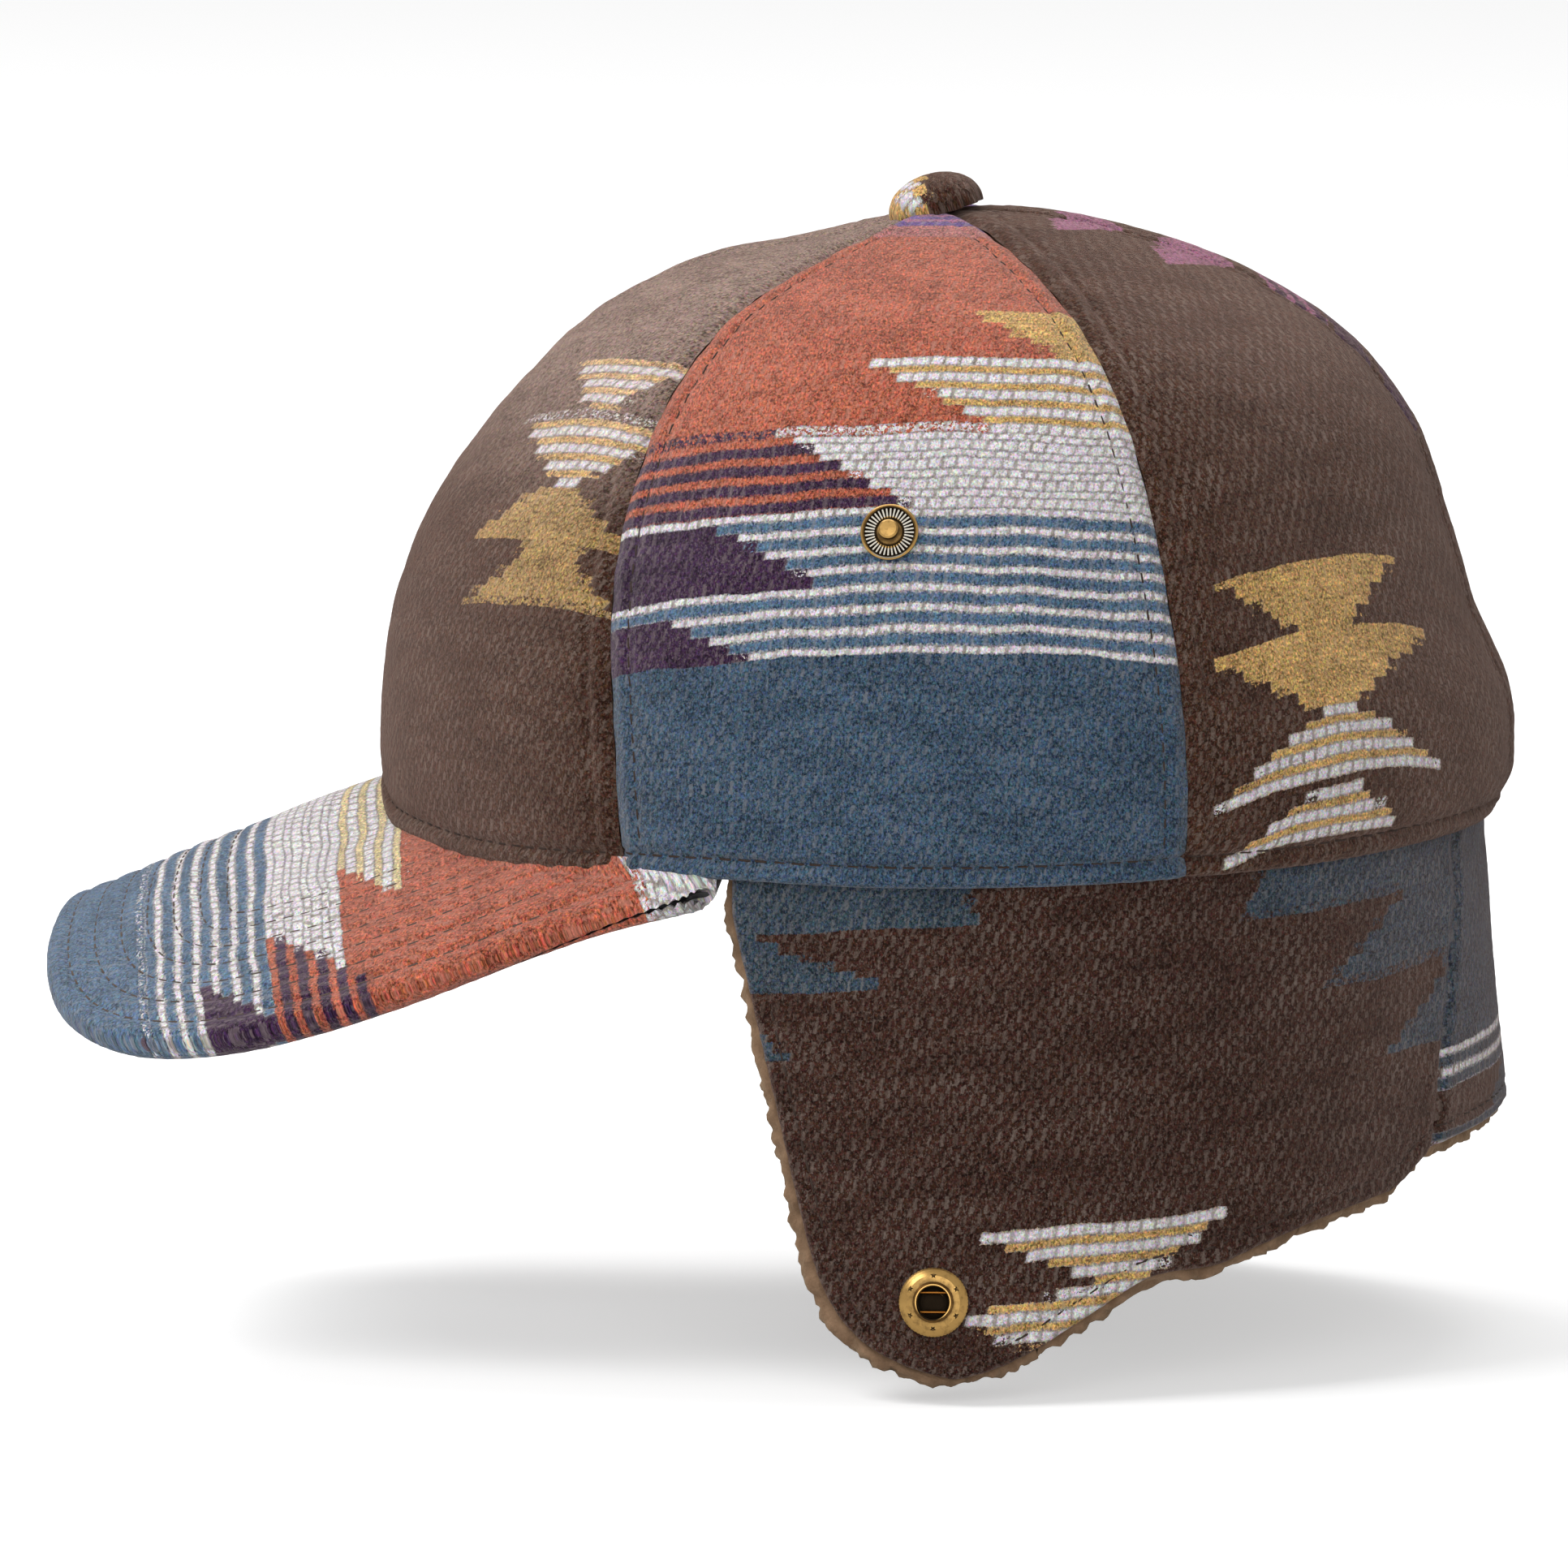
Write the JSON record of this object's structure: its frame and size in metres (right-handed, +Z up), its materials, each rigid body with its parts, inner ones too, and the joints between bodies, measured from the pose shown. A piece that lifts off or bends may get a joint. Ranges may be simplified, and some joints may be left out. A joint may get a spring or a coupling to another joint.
{
  "type": "trapper hat",
  "caption": "Six panel wool cap with a curved visor, and a fleece lined ear and neck flap that turns up onto snaps.",
  "frame": {"origin": "centre of the head opening, at the level of the crown's rim", "axes": "+Z up the crown, -Y to the visor, +X to the wearer's left"},
  "size_m": [0.1822, 0.2643, 0.2101],
  "materials": {
    "blanket_wool": "coarse brushed woven wool with a geometric blanket pattern",
    "sherpa_fleece": "tan sherpa pile",
    "lining_cloth": "plain woven lining",
    "sweatband_twill": "cotton twill",
    "visor_board": "flexible board",
    "antique_brass": "antiqued, rubbed bright on the edges",
    "spring_wire": "bright wire",
    "button_steel": "plain steel"
  },
  "bodies": {
    "crown": {"crown_panel_front_left": "blanket_wool", "crown_panel_front_right": "blanket_wool", "crown_panel_side_left": "blanket_wool", "crown_panel_side_right": "blanket_wool", "crown_panel_rear_left": "blanket_wool", "crown_panel_rear_right": "blanket_wool", "crown_lining": "lining_cloth", "sweatband": "sweatband_twill", "top_button_cover": "blanket_wool", "top_button_shell": "button_steel", "top_button_prong": "button_steel", "visor_board": "visor_board", "visor_top_cloth": "blanket_wool", "visor_under_cloth": "blanket_wool", "flap_heading": "blanket_wool", "flap_heading_fleece": "sherpa_fleece", "snap_stud_left": "antique_brass", "snap_stud_right": "antique_brass", "snap_stud_rivet_left": "antique_brass", "snap_stud_rivet_right": "antique_brass"},
    "ear_flap_left": {"ear_flap_shell_left": "blanket_wool", "ear_flap_fleece_left": "sherpa_fleece", "snap_socket_left": "antique_brass", "snap_socket_spring_left": "spring_wire", "snap_cap_left": "antique_brass"},
    "ear_flap_right": {"ear_flap_shell_right": "blanket_wool", "ear_flap_fleece_right": "sherpa_fleece", "snap_socket_right": "antique_brass", "snap_socket_spring_right": "spring_wire", "snap_cap_right": "antique_brass"},
    "side_flap_left": {"side_flap_shell_left": "blanket_wool", "side_flap_fleece_left": "sherpa_fleece"},
    "side_flap_right": {"side_flap_shell_right": "blanket_wool", "side_flap_fleece_right": "sherpa_fleece"},
    "rear_flap_left": {"rear_flap_shell_left": "blanket_wool", "rear_flap_fleece_left": "sherpa_fleece"},
    "rear_flap_right": {"rear_flap_shell_right": "blanket_wool", "rear_flap_fleece_right": "sherpa_fleece"},
    "neck_flap": {"neck_flap_shell": "blanket_wool", "neck_flap_fleece": "sherpa_fleece"}
  },
  "joints": [
    {"name": "neck_flap_fold", "type": "hinge", "parent": "crown", "child": "neck_flap", "pos_m": [0, 0.10163, -0.00332], "axis": [1, 0, 0], "range_deg": [0, 184]},
    {"name": "rear_flap_left_fold", "type": "hinge", "parent": "crown", "child": "rear_flap_left", "pos_m": [0.04596, 0.08595, -0.00404], "axis": [0.8163, -0.5767, -0.0344], "range_deg": [0, 184]},
    {"name": "rear_flap_right_fold", "type": "hinge", "parent": "crown", "child": "rear_flap_right", "pos_m": [-0.04596, 0.08595, -0.00404], "axis": [0.8163, 0.5767, 0.0344], "range_deg": [0, 184]},
    {"name": "side_flap_left_fold", "type": "hinge", "parent": "crown", "child": "side_flap_left", "pos_m": [0.07533, 0.04896, -0.00548], "axis": [0.442, -0.8965, -0.0292], "range_deg": [0, 184]},
    {"name": "side_flap_right_fold", "type": "hinge", "parent": "crown", "child": "side_flap_right", "pos_m": [-0.07533, 0.04896, -0.00548], "axis": [0.442, 0.8965, 0.0292], "range_deg": [0, 184]},
    {"name": "ear_flap_left_fold", "type": "hinge", "parent": "crown", "child": "ear_flap_left", "pos_m": [0.08745, 0.00224, -0.00843], "axis": [-0.0339, -0.9968, -0.0718], "range_deg": [0, 184]},
    {"name": "ear_flap_right_fold", "type": "hinge", "parent": "crown", "child": "ear_flap_right", "pos_m": [-0.08745, 0.00224, -0.00843], "axis": [-0.0339, 0.9968, 0.0718], "range_deg": [0, 184]}
  ],
  "couplings": [
    {"joint": "rear_flap_left_fold", "follows": "neck_flap_fold", "ratio": 1},
    {"joint": "rear_flap_right_fold", "follows": "neck_flap_fold", "ratio": 1},
    {"joint": "side_flap_left_fold", "follows": "neck_flap_fold", "ratio": 1},
    {"joint": "side_flap_right_fold", "follows": "neck_flap_fold", "ratio": 1},
    {"joint": "ear_flap_left_fold", "follows": "neck_flap_fold", "ratio": 1},
    {"joint": "ear_flap_right_fold", "follows": "neck_flap_fold", "ratio": 1}
  ]
}
